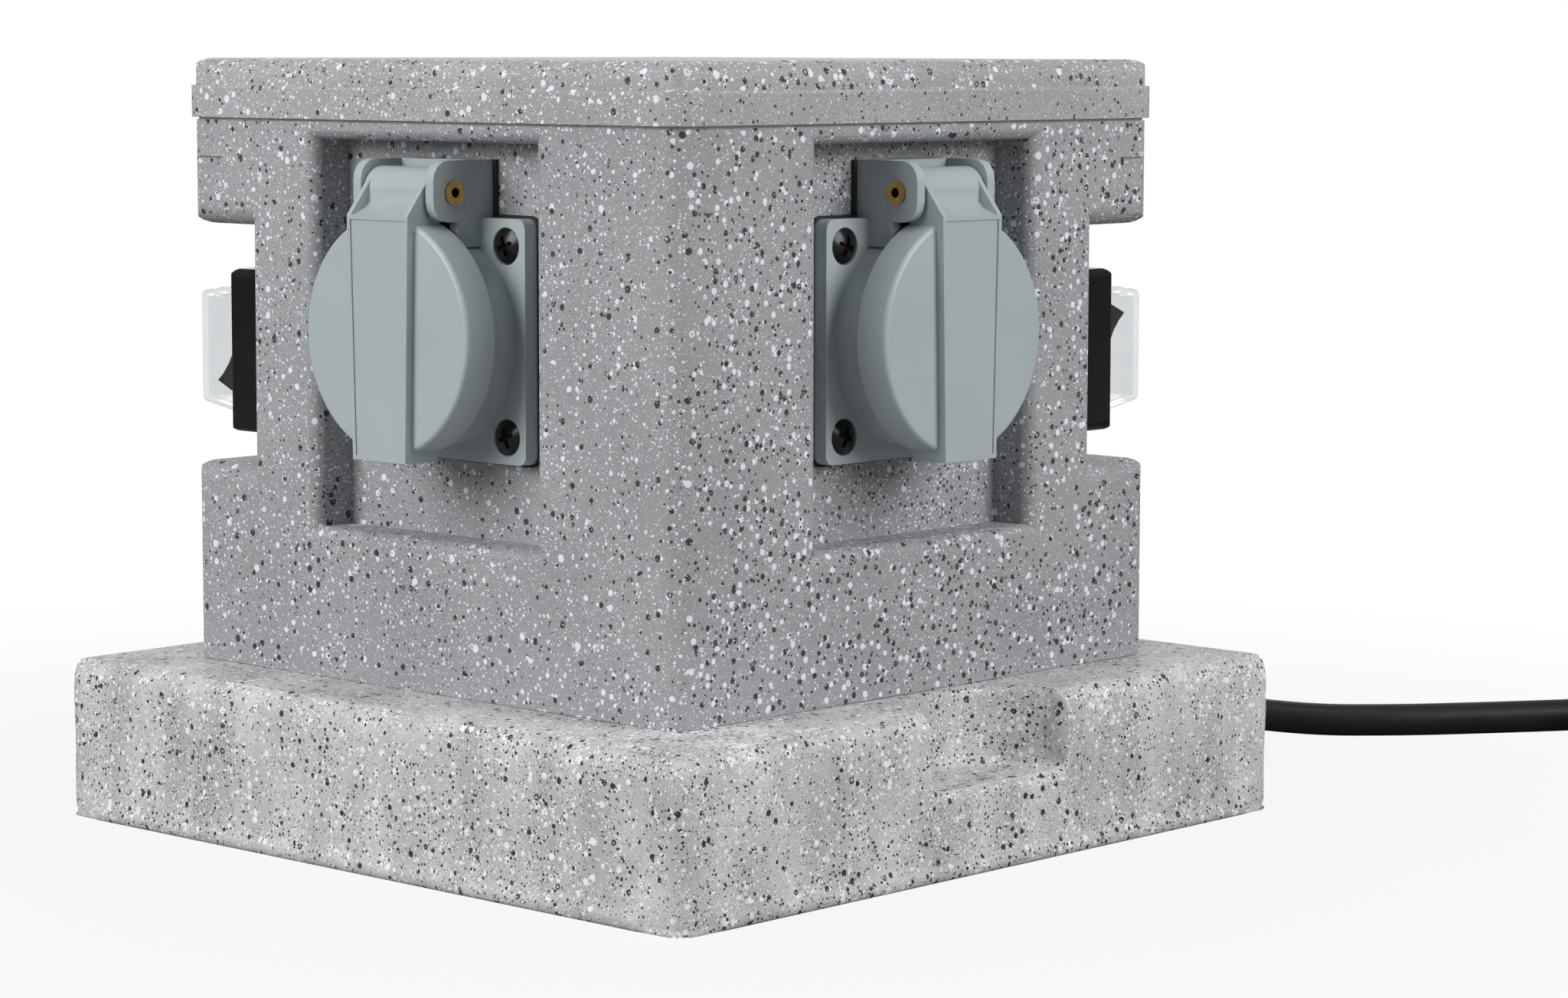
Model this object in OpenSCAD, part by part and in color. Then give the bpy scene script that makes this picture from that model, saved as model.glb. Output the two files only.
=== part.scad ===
// Garden socket post: a stone-look column on a fixing base, with two lidded
// sockets on its front faces, a hooded rocker switch in each side corner and
// a rubber lead with a plug. Millimetres, +Z up, origin under the base's centre.
// The two front faces look along -X (left) and -Y (right); what serves the
// right face is the left one's mirror image in the plane x = y.

/* [Base] */
// Width of the square base
base_w = 189; // [180:1:220]
// Height of the base
base_h = 34.5; // [31:0.5:45]
// Wall of the base moulding
base_wall = 4; // [3:0.5:5]
// Rounding of the base's top edge
base_edge_r = 5.5; // [3:0.5:7]
// Rounding of the base's upright corners
base_corner_r = 6; // [4:0.5:9]
// Depth of the deepest hewn hollow in the base's sides
hewn_depth = 1.3; // [0.5:0.1:2]
// Thickness of the plate that closes the base from below
plate_t = 2.5; // [2:0.5:4]

/* [Fixing notches] */
// Radius of the scooped notch in plan
notch_r = 20.2; // [16:0.2:22]
// How far the notch reaches into the base
notch_reach = 19.5; // [14:0.5:19.5]
// Height of the ledge that takes the screw
ledge_z = 18; // [10:0.5:20]
// Diameter of the fixing hole
fix_hole_d = 5.5; // [4.5:0.1:6.5]
// Distance of the fixing hole from the side face
fix_hole_in = 8.5; // [7:0.5:10]

/* [Column] */
// Width of the square column
body_w = 146.5; // [144:0.5:152]
// Height of the column's top rim above the ground
body_top = 150.5; // [150:0.5:160]
// Wall of the column
body_wall = 3; // [2.5:0.5:3.5]
// Rounding of the column's upright corners
body_corner_r = 4.5; // [3:0.5:6]

/* [Socket pockets] */
// Width of the pocket that a socket sits in
pocket_w = 65; // [62:0.5:67]
// Height of the pocket's lower wall above the ground
pocket_z0 = 66; // [60:0.5:72]
// Height of the pocket's upper wall above the ground
pocket_z1 = 147; // [145:0.5:147]
// Depth of the pocket
pocket_d = 10; // [9:0.5:12]
// Rounding of the pocket's mouth above and below
pocket_rim = 2.5; // [1:0.25:3]
// Rounding of the pocket's mouth at its sides
pocket_side_rim = 4; // [1:0.25:4.5]

/* [Corner notches] */
// How far a corner notch is cut in from the rear face
corner_d = 21.6; // [20:0.2:23]
// Length of a corner notch along the rear face
corner_l = 45; // [42:1:48]
// Height of the notch's lower ledge above the ground
corner_z0 = 77.5; // [74:0.5:79]
// Height of the notch's upper ledge above the ground
corner_z1 = 128.3; // [126:0.5:132]
// Rounding of the ledges' outer edges
corner_edge_r = 4.5; // [2:0.5:6]
// Height of the small groove round a notched corner
groove_z = 139.5; // [136:0.5:142]
// Width of that groove
groove_h = 3.2; // [2:0.2:5]

/* [Top cover] */
// Height of the cover's protruding band
band_h = 6.8; // [4:0.2:8]
// How far the band stands out from the column on each side
band_out = 1; // [0.6:0.1:2]
// Height of the cap above the band
cap_h = 5.7; // [5:0.1:10]
// Rounding of the cap's top edge
cap_r = 4; // [2:0.5:4.5]
// Thickness of the flat seal under the cover
seal_t = 0.5; // [0.4:0.1:1]

/* [Socket] */
// Width of the square socket flange
flange_w = 49.5; // [48:0.5:54]
// Thickness of the flange
flange_t = 3.3; // [2.5:0.1:4]
// Spacing of the flange's four screws
screw_pitch = 38.5; // [36:0.5:40]
// Height of the socket's centre above the ground
socket_z = 107; // [106:0.5:108]
// Thickness of the gasket behind the flange
gasket_t = 0.8; // [0.5:0.1:1.5]
// Inner radius of the plug recess
recess_r = 19.5; // [19.3:0.1:20]
// Depth of the plug recess
recess_d = 17.5; // [17:0.1:18.5]
// Wall of the collar round the recess
collar_wall = 2.5; // [2:0.1:3]
// How far the collar's rim stands out of the face
collar_out = 1.7; // [1:0.1:2]
// Spacing of the two contacts
contact_pitch = 19; // [18.6:0.1:19.4]
// Radius of a contact's bore
contact_r = 2.45; // [2.42:0.01:2.5]

/* [Lid] */
// Radius of the round lid
lid_r = 24.3; // [24:0.1:24.6]
// How far the lid's flat front stands out of the face
lid_front = 9.5; // [9:0.1:11]
// Height of the lid's centre above the socket's centre
lid_rise = 1; // [0:0.1:1.2]
// Wall of the lid
lid_wall = 2; // [1.6:0.1:2.2]
// Width of the lid's upright bar at its top
bar_w_top = 18.2; // [17:0.1:18.6]
// Width of the bar at its foot
bar_w_foot = 15.8; // [14:0.1:17]
// How far the bar stands out of the lid
bar_proud = 1.9; // [1:0.1:2.5]
// Height of the hinge pin above the socket's centre
pin_v = 30; // [29.8:0.1:30.5]
// How far the hinge pin's axis stands out of the face
pin_w = 1.5; // [1:0.1:2]
// Radius of the hollow hinge pin
pin_r = 2; // [1.8:0.1:2.2]
// Radial clearance of the lid on its pin
pin_gap = 0.05; // [0.02:0.01:0.1]
// Radius of the lid's hinge barrel
barrel_r = 5; // [4.6:0.1:5.2]
// Width over the two hinge ears
ears_w = 24; // [23:0.1:25]
// Thickness of an ear
ear_t = 2.3; // [2:0.1:2.6]

/* [Switch] */
// Width of the switch's box
box_w = 28; // [27:0.5:30]
// Height of the switch's box
box_h = 35; // [33:0.5:38]
// How far the box stands out of the notch's wall
box_out = 11.4; // [10:0.1:12]
// Height of the switch's centre above the ground
switch_z = 101.5; // [100:0.5:103]
// Distance of the switch's centre from the front face beside it
switch_in = 16.2; // [16:0.1:18]
// Width of the rocker
rocker_w = 19.6; // [18:0.1:20]
// Half the rocker's length at its raised end
rocker_l = 10; // [9:0.1:10.4]
// Height of the rocker's raised end above its pivot
rocker_h = 9.2; // [7:0.1:9.5]
// Tilt of the rocker to either side
rocker_tilt = 15; // [10:1:16]
// Depth of the rocker's pivot below the box's front
pivot_in = 2.5; // [2.4:0.1:4]
// Height of the clear hood above the box
hood_out = 12.8; // [12.6:0.1:15]
// Wall of the hood
hood_wall = 1.1; // [0.8:0.1:1.2]
// Radial clearance of the rocker's pins
rocker_gap = 0.05; // [0.02:0.01:0.1]

/* [Lead] */
// Diameter of the rubber-sheathed lead
cord_d = 7.8; // [7:0.1:8.2]
// Height of the lead's exit above the ground
exit_z = 12; // [10:0.5:14]
// Length of the strain relief outside the base
relief_l = 26; // [20:1:26]
// Radius of the outermost turn of the coil, to the lead's middle
coil_r = 56.5; // [52:0.5:60]
// Turns in each of the coil's two layers
coil_turns = 3; // [2:1:3]
// Gap between neighbouring turns
coil_gap = 0.6; // [0.5:0.1:1]

/* [Hidden] */
$fn = 48;

body_half = body_w / 2;
base_half = base_w / 2;
cover_z = body_top + seal_t;
cap_z = cover_z + band_h;
top_z = cap_z + cap_h;
fit = 0.3;
eps = 0.01;

// Colours as the photograph shows them
stone_base = [0.66, 0.66, 0.66];
stone_body = [0.60, 0.60, 0.61];
lid_grey = [0.66, 0.71, 0.73];
black_plastic = [0.13, 0.12, 0.13];
rubber = [0.10, 0.10, 0.11];
brass = [0.72, 0.55, 0.28];
steel = [0.62, 0.62, 0.64];

// Points of an arc about c from angle a0 to a1
function arc(c, r, a0, a1, n = 6) =
  [for (i = [0 : n]) c + r * [cos(a0 + (a1 - a0) * i / n), sin(a0 + (a1 - a0) * i / n)]];

// A rectangle with rounded corners, centred
module round_rect(w, h, r, n = 5) {
  x = w / 2 - r;
  y = h / 2 - r;
  polygon(concat(arc([x, y], r, 0, 90, n), arc([-x, y], r, 90, 180, n),
                 arc([-x, -y], r, 180, 270, n), arc([x, -y], r, 270, 360, n)));
}

// A square block with rounded upright corners and a rounded top edge
module soft_block(w, h, corner_r, top_r) {
  intersection() {
    linear_extrude(h) round_rect(w, w, corner_r);
    for_both_ways() soft_section(w, h, top_r);
  }
}

// The overlap of one section drawn out along X and along Y
module for_both_ways() {
  intersection() {
    rotate([90, 0, 0]) linear_extrude(2 * base_w, center = true) children();
    rotate([90, 0, 90]) linear_extrude(2 * base_w, center = true) children();
  }
}

module soft_section(w, h, r) {
  polygon(concat([[-w / 2, 0], [w / 2, 0]],
                 arc([w / 2 - r, h - r], r, 0, 90), arc([r - w / 2, h - r], r, 90, 180)));
}

// The left face's mirror image on the right face
module right_side() { mirror([1, -1, 0]) children(); }

// A socket's own frame on the left face: x along the face, y up, z outwards
module at_left_socket() {
  translate([-body_half, 0, socket_z]) rotate([90, 0, -90]) children();
}

// A switch's own frame on the left corner notch's wall: x towards the left face, y up, z outwards
module at_left_switch() {
  translate([-body_half + switch_in, body_half - corner_d, switch_z]) rotate([90, 0, 180]) children();
}

// BASE

// Middle, width and depth (as a share of the deepest) of each hewn hollow along a side
hewn = [[-79, 20, 0.7], [-58, 24, 1], [-31, 26, 0.6], [33, 22, 0.9], [57, 26, 0.7], [80, 18, 1]];
fix_hole_y = base_half - fix_hole_in;
notch_back = base_half - notch_reach;
ledge_block_w = 2 * notch_r + 2 * base_wall;

// Four tie screws run from the base through the column into the cover
tie_in = 7;
tie_r = 2;
tie_side = body_half - tie_in;
tie_rear = body_half - corner_l - 9.5;
ties = [[-tie_side, -tie_side], [tie_side, tie_side], [-tie_rear, tie_side], [tie_side, -tie_rear]];
tie_boss_r = 4.6;
tie_head_r = 3.8;
tie_head_h = 2.4;
tie_boss_drop = 2.5;
tie_top = top_z - 6;

// The plate's four screws
plate_post = base_half - base_wall - 9;
post_r = 4.5;
plate_screw_r = 1.5;
plate_screw_l = 12;
opening_w = 46;
opening_x = -24;

// The strain relief's neck fills its hole in the wall; clamp and terminal block hang from the base's top
relief_neck_r = 6;
clamp_l = 10;
clamp_x = base_half - base_wall - 18.5;
clamp_screw_l = 18;
clamp_screw_y = 10;
block_l = 22;
block_w = 44;
block_h = 13;
block_x = clamp_x - 40;
pole_pitch = 14;
pole_w = 11;

// The hollows run out towards the base's straight lower edge
hewn_rise = 9;
module hewn_hollows() {
  for (side = [0 : 3], h = hewn) rotate(90 * side) {
    deep = hewn_depth * h[2];
    r = (h[1] * h[1] / 4 + deep * deep) / (2 * deep);
    translate([h[0], -base_half - r + deep, 0]) {
      cylinder(h = hewn_rise, r1 = r - 1.2 * deep, r2 = r, $fn = 96);
      translate([0, 0, hewn_rise - eps]) cylinder(h = base_h, r = r, $fn = 96);
    }
  }
}

module fixing_notch() {
  translate([0, -notch_back - notch_r, ledge_z]) cylinder(h = base_h, r = notch_r);
}

module ledge_block(margin = 0) {
  translate([-ledge_block_w / 2 - margin, -base_half, 0])
    cube([ledge_block_w + 2 * margin, notch_reach + base_wall + margin, base_h - 1]);
}

module base() {
  inner = base_w - 2 * base_wall;
  top_inside = base_h - base_wall;
  color(stone_base) difference() {
    union() {
      difference() {
        soft_block(base_w, base_h, base_corner_r, base_edge_r);
        translate([-inner / 2, -inner / 2, -1]) cube([inner, inner, top_inside + 1]);
      }
      intersection() {
        soft_block(base_w, base_h, base_corner_r, base_edge_r);
        for (turn = [0, 180]) rotate(turn) ledge_block();
      }
      for (x = [-1, 1], y = [-1, 1])
        translate([x * plate_post, y * plate_post, plate_t + eps])
          cylinder(h = top_inside - plate_t, r = post_r);
      for (y = [-1, 1])
        translate([clamp_x, y * clamp_screw_y, exit_z]) cylinder(h = top_inside - exit_z + 1, r = 3.6);
      translate([clamp_x - clamp_l / 2, -clamp_screw_y, exit_z + cord_d / 2])
        cube([clamp_l, 2 * clamp_screw_y, top_inside - exit_z - cord_d / 2 + 1]);
    }
    hewn_hollows();
    for (turn = [0, 180]) rotate(turn) {
      fixing_notch();
      translate([0, -fix_hole_y, -1]) cylinder(h = base_h, r = fix_hole_d / 2);
    }
    translate([opening_x - opening_w / 2, -opening_w / 2, top_inside - 1])
      cube([opening_w, opening_w, base_wall + 2]);
    for (p = ties) translate([p[0], p[1], top_inside - 1]) cylinder(h = base_wall + 2, r = tie_r + fit);
    for (x = [-1, 1], y = [-1, 1])
      translate([x * plate_post, y * plate_post, -1]) cylinder(h = plate_screw_l + 4, r = plate_screw_r);
    for (y = [-1, 1])
      translate([clamp_x, y * clamp_screw_y, exit_z - 1]) cylinder(h = clamp_screw_l - 4, r = plate_screw_r);
    translate([base_half - 2 * base_wall, 0, exit_z]) rotate([0, 90, 0])
      cylinder(h = 3 * base_wall, r = relief_neck_r);
  }
}

module base_plate() {
  w = base_w - 2 * base_wall - 2 * fit;
  color(stone_body) difference() {
    linear_extrude(plate_t) round_rect(w, w, 3);
    for (turn = [0, 180]) rotate(turn) translate([0, 0, -base_h / 2]) ledge_block(fit);
    for (x = [-1, 1], y = [-1, 1])
      translate([x * plate_post, y * plate_post, -1]) {
        cylinder(h = plate_t + 2, r = plate_screw_r + fit);
        cylinder(h = 1 + 1.4, r = 3.2);
      }
  }
}

// A plain screw seen from its head: a low dome with a cross, and a shank
module pan_screw(head_r, head_h, shank_r, length) {
  difference() {
    union() {
      cylinder(h = head_h, r = head_r);
      translate([0, 0, -length]) cylinder(h = length + eps, r = shank_r);
    }
    for (turn = [0, 90]) rotate(turn)
      translate([-head_r * 0.6, -0.4, head_h - 0.9]) cube([head_r * 1.2, 0.8, 2]);
  }
}

module base_plate_screws() {
  color(steel) for (x = [-1, 1], y = [-1, 1])
    translate([x * plate_post, y * plate_post, 1.4]) rotate([180, 0, 0])
      pan_screw(2.9, 1.2, plate_screw_r, plate_screw_l);
}

module tie_screws() {
  under = base_h - base_wall;
  color(steel) for (p = ties)
    translate([p[0], p[1], under]) rotate([180, 0, 0])
      pan_screw(tie_head_r, tie_head_h, tie_r, tie_top - under);
}

// COLUMN

// Section across a pocket's mouth, with its edges rounded outwards
module mouth_section(w, r) {
  polygon(concat([[-w / 2, -pocket_d], [w / 2, -pocket_d]], arc([w / 2 + r, -r], r, 180, 90, 4),
                 [[w / 2 + r, 1], [-w / 2 - r, 1]], arc([-w / 2 - r, -r], r, 90, 0, 4)));
}

// A pocket, in its socket's frame
pocket_h = pocket_z1 - pocket_z0;
pocket_v = (pocket_z1 + pocket_z0) / 2 - socket_z;
module pocket_cut() {
  translate([0, pocket_v, 0]) intersection() {
    rotate([90, 0, 0]) linear_extrude(2 * body_w, center = true) mouth_section(pocket_w, pocket_side_rim);
    rotate([90, 0, 90]) linear_extrude(2 * body_w, center = true) mouth_section(pocket_h, pocket_rim);
  }
}

module pocket_tub() {
  w = pocket_w + 2 * body_wall;
  h = pocket_h + 2 * body_wall;
  translate([-w / 2, pocket_v - h / 2, -pocket_d - body_wall]) cube([w, h, pocket_d + body_wall]);
}

// Holes in the pocket's floor for the socket's cup, its bracket screws and its four screws
module socket_holes() {
  translate([0, 0, -pocket_d - 2 * body_wall]) {
    cylinder(h = 3 * body_wall, r = recess_r + collar_wall + fit);
    for (x = [-1, 1], y = [-1, 1])
      translate([x, y] * screw_pitch / 2) cylinder(h = 3 * body_wall, r = 1.55);
  }
}

// Takes the sharp edge off a solid below and behind an edge that runs along X from the origin
module edge_cut(l, r) {
  rotate([90, 0, 90]) linear_extrude(l)
    polygon(concat([[1, 1], [-r, 1]], arc([-r, -r], r, 90, 0), [[1, -r]]));
}

// The left corner's notch, open to the rear face and to the left face, with rounded ledges
module corner_cut() {
  translate([-body_half - 1, body_half - corner_d, corner_z0])
    cube([corner_l + 1, corner_d + 1, corner_z1 - corner_z0]);
  translate([0, 0, (corner_z0 + corner_z1) / 2]) for (up = [0, 1]) mirror([0, 0, up])
    translate([-body_half, body_half, -(corner_z1 - corner_z0) / 2]) {
      edge_cut(corner_l, corner_edge_r);
      rotate(-90) mirror([0, 1, 0]) edge_cut(corner_d, corner_edge_r);
    }
}

module corner_tub() {
  translate([-body_half, body_half - corner_d - body_wall, corner_z0 - body_wall])
    cube([corner_l + body_wall, corner_d + body_wall, corner_z1 - corner_z0 + 2 * body_wall]);
}

// The hole for the switch in the notch's wall
hole_w = box_w - 3;
hole_h = box_h - 6;
module switch_hole() {
  at_left_switch() translate([-hole_w / 2, -hole_h / 2, -body_deep - fit])
    cube([hole_w, hole_h, body_deep + fit + body_wall]);
}

// The shallow groove that wraps the notched corner
groove_l = 11;
groove_deep = 0.6;
module corner_groove() {
  translate([-body_half - 1, body_half - groove_l, groove_z])
    cube([1 + groove_deep, groove_l + 1, groove_h]);
  translate([-body_half - 1, body_half - groove_deep, groove_z])
    cube([groove_l + 1, groove_deep + 1, groove_h]);
}

module column() {
  h = body_top - base_h;
  inner = body_w - 2 * body_wall;
  color(stone_body) difference() {
    intersection() {
      translate([0, 0, base_h]) linear_extrude(h) round_rect(body_w, body_w, body_corner_r);
      union() {
        translate([0, 0, base_h]) linear_extrude(h) difference() {
          square(body_w + 2, center = true);
          square(inner, center = true);
        }
        at_left_socket() pocket_tub();
        corner_tub();
        right_side() {
          at_left_socket() pocket_tub();
          corner_tub();
        }
        for (p = ties) translate([p[0], p[1], base_h]) cylinder(h = h - tie_boss_drop, r = tie_boss_r);
      }
    }
    at_left_socket() {
      pocket_cut();
      socket_holes();
    }
    corner_cut();
    switch_hole();
    corner_groove();
    right_side() {
      at_left_socket() {
        pocket_cut();
        socket_holes();
      }
      corner_cut();
      switch_hole();
      corner_groove();
    }
    for (p = ties) translate([p[0], p[1], base_h - 1]) cylinder(h = h + 2, r = tie_r + fit);
  }
}

// TOP COVER

cover_wall = 3;
spigot_h = 4;
spigot_t = 2;
cover_boss_r = tie_in - body_wall - fit;
module top_cover() {
  outer = body_w - 2 * body_wall - 2 * fit;
  inner = outer - 2 * spigot_t;
  inside_z = top_z - cover_wall;
  boss_z = body_top - tie_boss_drop + fit;
  color(stone_body) difference() {
    union() {
      difference() {
        union() {
          translate([0, 0, cover_z]) soft_block(body_w + 2 * band_out, band_h, body_corner_r + band_out, 0.8);
          translate([0, 0, cover_z]) soft_block(body_w, band_h + cap_h, body_corner_r, cap_r);
        }
        translate([-inner / 2, -inner / 2, cover_z - 1]) cube([inner, inner, inside_z - cover_z + 1]);
      }
      difference() {
        translate([0, 0, cover_z - spigot_h]) linear_extrude(spigot_h + eps) difference() {
          square(outer, center = true);
          square(inner, center = true);
        }
        for (turn = [0, -90]) rotate(turn)
          translate([-pocket_w / 2 - body_wall - fit, -body_half, cover_z - spigot_h - 1])
            cube([pocket_w + 2 * body_wall + 2 * fit, 2 * pocket_d, spigot_h + 1]);
        for (p = ties)
          translate([p[0], p[1], cover_z - spigot_h - 1]) cylinder(h = spigot_h + 1, r = tie_boss_r + fit);
      }
      for (p = ties) translate([p[0], p[1], boss_z]) cylinder(h = inside_z + eps - boss_z, r = cover_boss_r);
    }
    for (p = ties) translate([p[0], p[1], boss_z - 1]) cylinder(h = tie_top - boss_z + 1.5, r = tie_r);
  }
}

module top_seal() {
  color(rubber) translate([0, 0, body_top]) linear_extrude(seal_t) difference() {
    round_rect(body_w - 1, body_w - 1, body_corner_r - 0.5);
    square(body_w - 2 * body_wall, center = true);
  }
}

// SOCKET, in its own frame

flange_back = -pocket_d + gasket_t;
flange_front = flange_back + flange_t;
recess_floor = collar_out - recess_d;
cup_back = -29;
bracket_top = pin_v + 6.4;
bracket_foot = recess_r - 0.5;
ear_low = pin_v - 5.9;
neck_front = 0.5;
ear_front = pin_w + 5.5;
ear_r = 4;
screw_head_r = 3.5;
screw_head_h = 1.3;
socket_screw_l = 10;

module gasket_outline() {
  margin = 0.6;
  round_rect(flange_w + 2 * margin, flange_w + 2 * margin, 2 + margin, 3);
  translate([-ears_w / 2 - 1.5 * margin, 0]) square([ears_w + 3 * margin, bracket_top]);
}

module gasket() {
  color(rubber) translate([0, 0, -pocket_d]) linear_extrude(gasket_t) difference() {
    gasket_outline();
    circle(r = recess_r + collar_wall + fit);
    for (x = [-1, 1], y = [-1, 1]) translate([x, y] * screw_pitch / 2) circle(r = 2);
  }
}

// Side view of a hinge ear and its foot on the collar: height along x, outwards along y
module ear_profile() {
  polygon(concat(
    [[bracket_foot, flange_back], [bracket_foot, neck_front], [ear_low, neck_front]],
    arc([ear_low + ear_r, ear_front - ear_r], ear_r, 180, 90, 4),
    arc([bracket_top - ear_r, ear_front - ear_r], ear_r, 90, 0, 4),
    [[bracket_top, flange_back]]));
}

module socket() {
  color(lid_grey) difference() {
    union() {
      translate([0, 0, flange_back]) linear_extrude(flange_t) round_rect(flange_w, flange_w, 2, 3);
      translate([0, 0, cup_back]) cylinder(h = collar_out - cup_back, r = recess_r + collar_wall);
      for (x = [0, 1]) mirror([x, 0, 0]) translate([ears_w / 2 - ear_t, 0, 0])
        rotate([90, 0, 90]) linear_extrude(ear_t) ear_profile();
      translate([-ears_w / 2, bracket_foot, flange_back])
        cube([ears_w, bracket_top - bracket_foot, pin_w - barrel_r - 0.5 - flange_back]);
      translate([-ears_w / 2, bracket_foot, flange_back])
        cube([ears_w, collar_wall + 0.5, neck_front - flange_back]);
    }
    translate([0, 0, cup_back - 1]) cylinder(h = collar_out - cup_back + 2, r = recess_r);
    for (x = [-1, 1], y = [-1, 1]) translate([x * screw_pitch / 2, y * screw_pitch / 2, flange_back - 1]) {
      cylinder(h = flange_t + 2, r = 1.9);
      translate([0, 0, flange_t]) cylinder(h = 3, r = screw_head_r + fit);
    }
    translate([-ears_w, pin_v, pin_w]) rotate([0, 90, 0]) cylinder(h = 2 * ears_w, r = pin_r + 0.02);
  }
}

// Insert with a front disc and two contact chambers
insert_disc = 3.5;
chamber_w = 9;
chamber_h = 12;
chamber_l = 9.5;
tube_r = contact_r + 0.85;
contact_back = 2;
chamber_z = recess_floor - insert_disc - chamber_l;
module insert() {
  color(lid_grey) difference() {
    union() {
      translate([0, 0, recess_floor - insert_disc]) cylinder(h = insert_disc, r = recess_r - 0.05);
      for (x = [-1, 1]) translate([x * contact_pitch / 2 - chamber_w / 2, -chamber_h / 2, chamber_z])
        cube([chamber_w, chamber_h, chamber_l + eps]);
    }
    for (x = [-1, 1]) translate([x * contact_pitch / 2, 0, chamber_z - 1]) {
      cylinder(h = chamber_l + 1, r = tube_r);
      cylinder(h = chamber_l + insert_disc + 2, r = contact_r + 0.35);
    }
    for (y = [0, 1]) mirror([0, y, 0])
      translate([-clip_w / 2 - fit, clip_in - fit, recess_floor - insert_disc - 1])
        cube([clip_w + 2 * fit, recess_r + 1 - clip_in + fit, insert_disc + 2]);
  }
}

module contacts() {
  color(brass) for (x = [-1, 1]) translate([x * contact_pitch / 2, 0, chamber_z]) difference() {
    cylinder(h = chamber_l, r = tube_r);
    translate([0, 0, contact_back]) cylinder(h = chamber_l, r = contact_r);
  }
}

// Earthing clip: a bar behind the insert, and an arm at the top and bottom of the recess
clip_w = 6;
clip_t = 0.8;
clip_in = 17.6;
module earth_clip() {
  bar_z = recess_floor - insert_disc - clip_t - fit;
  arm = [[recess_r - 0.4, bar_z], [recess_r - 0.4, recess_floor + 4], [clip_in - 0.6, recess_floor + 7.5],
         [recess_r - 0.8, recess_floor + 11], [recess_r - 1.4, recess_floor + 11.4],
         [clip_in - 1.5, recess_floor + 7.5], [recess_r - 1.2, recess_floor + 3.6], [recess_r - 1.2, bar_z]];
  color(brass) {
    translate([-clip_w / 2, -recess_r + 0.5, bar_z]) cube([clip_w, 2 * recess_r - 1, clip_t]);
    for (y = [0, 1]) mirror([0, y, 0]) translate([-clip_w / 2, 0, 0]) rotate([90, 0, 90])
      linear_extrude(clip_w) polygon(arm);
  }
}

module socket_screws() {
  color(black_plastic) for (x = [-1, 1], y = [-1, 1])
    translate([x * screw_pitch / 2, y * screw_pitch / 2, flange_front - 0.6]) difference() {
      union() {
        intersection() {
          cylinder(h = 3, r = screw_head_r);
          translate([0, 0, screw_head_h - 2 * screw_head_r]) sphere(r = 2 * screw_head_r, $fn = 64);
        }
        translate([0, 0, -flange_t + 0.6]) cylinder(h = flange_t, r = 1.8);
        translate([0, 0, -socket_screw_l]) cylinder(h = socket_screw_l, r = 1.5);
      }
      for (turn = [0, 90]) rotate(turn + 20) translate([-2.1, -0.45, 0.4]) cube([4.2, 0.9, 2]);
    }
}

module hinge_pin() {
  head_t = 0.5;
  color(brass) translate([-ears_w / 2 - head_t, pin_v, pin_w]) rotate([0, 90, 0]) difference() {
    union() {
      cylinder(h = ears_w + 2 * head_t, r = pin_r);
      cylinder(h = head_t, r = pin_r + 0.45);
      translate([0, 0, ears_w + head_t]) cylinder(h = head_t, r = pin_r + 0.45);
    }
    translate([0, 0, -1]) cylinder(h = ears_w + 3, r = pin_r - 1);
  }
}

// LID, in the socket's frame

lid_back = collar_out + fit;
barrel_w = ears_w - 2 * ear_t - 2 * fit;
spring_l = 9;
spring_r = pin_r + 1.2;
bar_front = lid_front + bar_proud;
bar_top = lid_rise + lid_r;
bar_foot = lid_rise - lid_r - 0.9;
rib_t = 1.2;
frame_w = 0.9;
frame_deep = 0.3;

module lid_disc() {
  edge = 1;
  rotate_extrude($fn = 96) polygon(concat([[0, lid_back], [lid_r, lid_back]],
    arc([lid_r - edge, lid_front - edge], edge, 0, 90, 3), [[0, lid_front]]));
}

// Side view of the bar, up to the shoulder where it bends to the barrel
module bar_side() {
  polygon([[bar_foot, lid_back + 0.5], [bar_foot, bar_front], [bar_top, bar_front],
           [bar_top, lid_back + 2.5], [bar_top - 4, lid_back + 0.5]]);
}

// Front view of the bar, wider at its top
module bar_face(inset) {
  foot_x = bar_w_foot / 2 - inset;
  top_x = bar_w_top / 2 - inset;
  polygon([[-foot_x, bar_foot + inset], [foot_x, bar_foot + inset],
           [top_x, bar_top - inset], [-top_x, bar_top - inset]]);
}

// Side views of the neck between bar and barrel: a web, and a taller rib on each side of it
neck_low = bar_top - 3;
module rib_side() {
  polygon([[neck_low, bar_front], [bar_top, bar_front], [pin_v + 3.2, pin_w + barrel_r - 1.2],
           [pin_v, pin_w - 0.5], [neck_low, lid_back + 1]]);
}
module web_side() {
  polygon([[neck_low, bar_front - 2], [bar_top, bar_front - 0.6], [bar_top + 1.4, pin_w + barrel_r + 1.2],
           [bar_top + 2.4, pin_w + barrel_r + 0.2], [pin_v, pin_w + barrel_r - 0.1],
           [pin_v, pin_w - 0.5], [neck_low, lid_back + 1]]);
}

module along_pin(w) { translate([-w / 2, 0, 0]) rotate([90, 0, 90]) linear_extrude(w) children(); }

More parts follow.
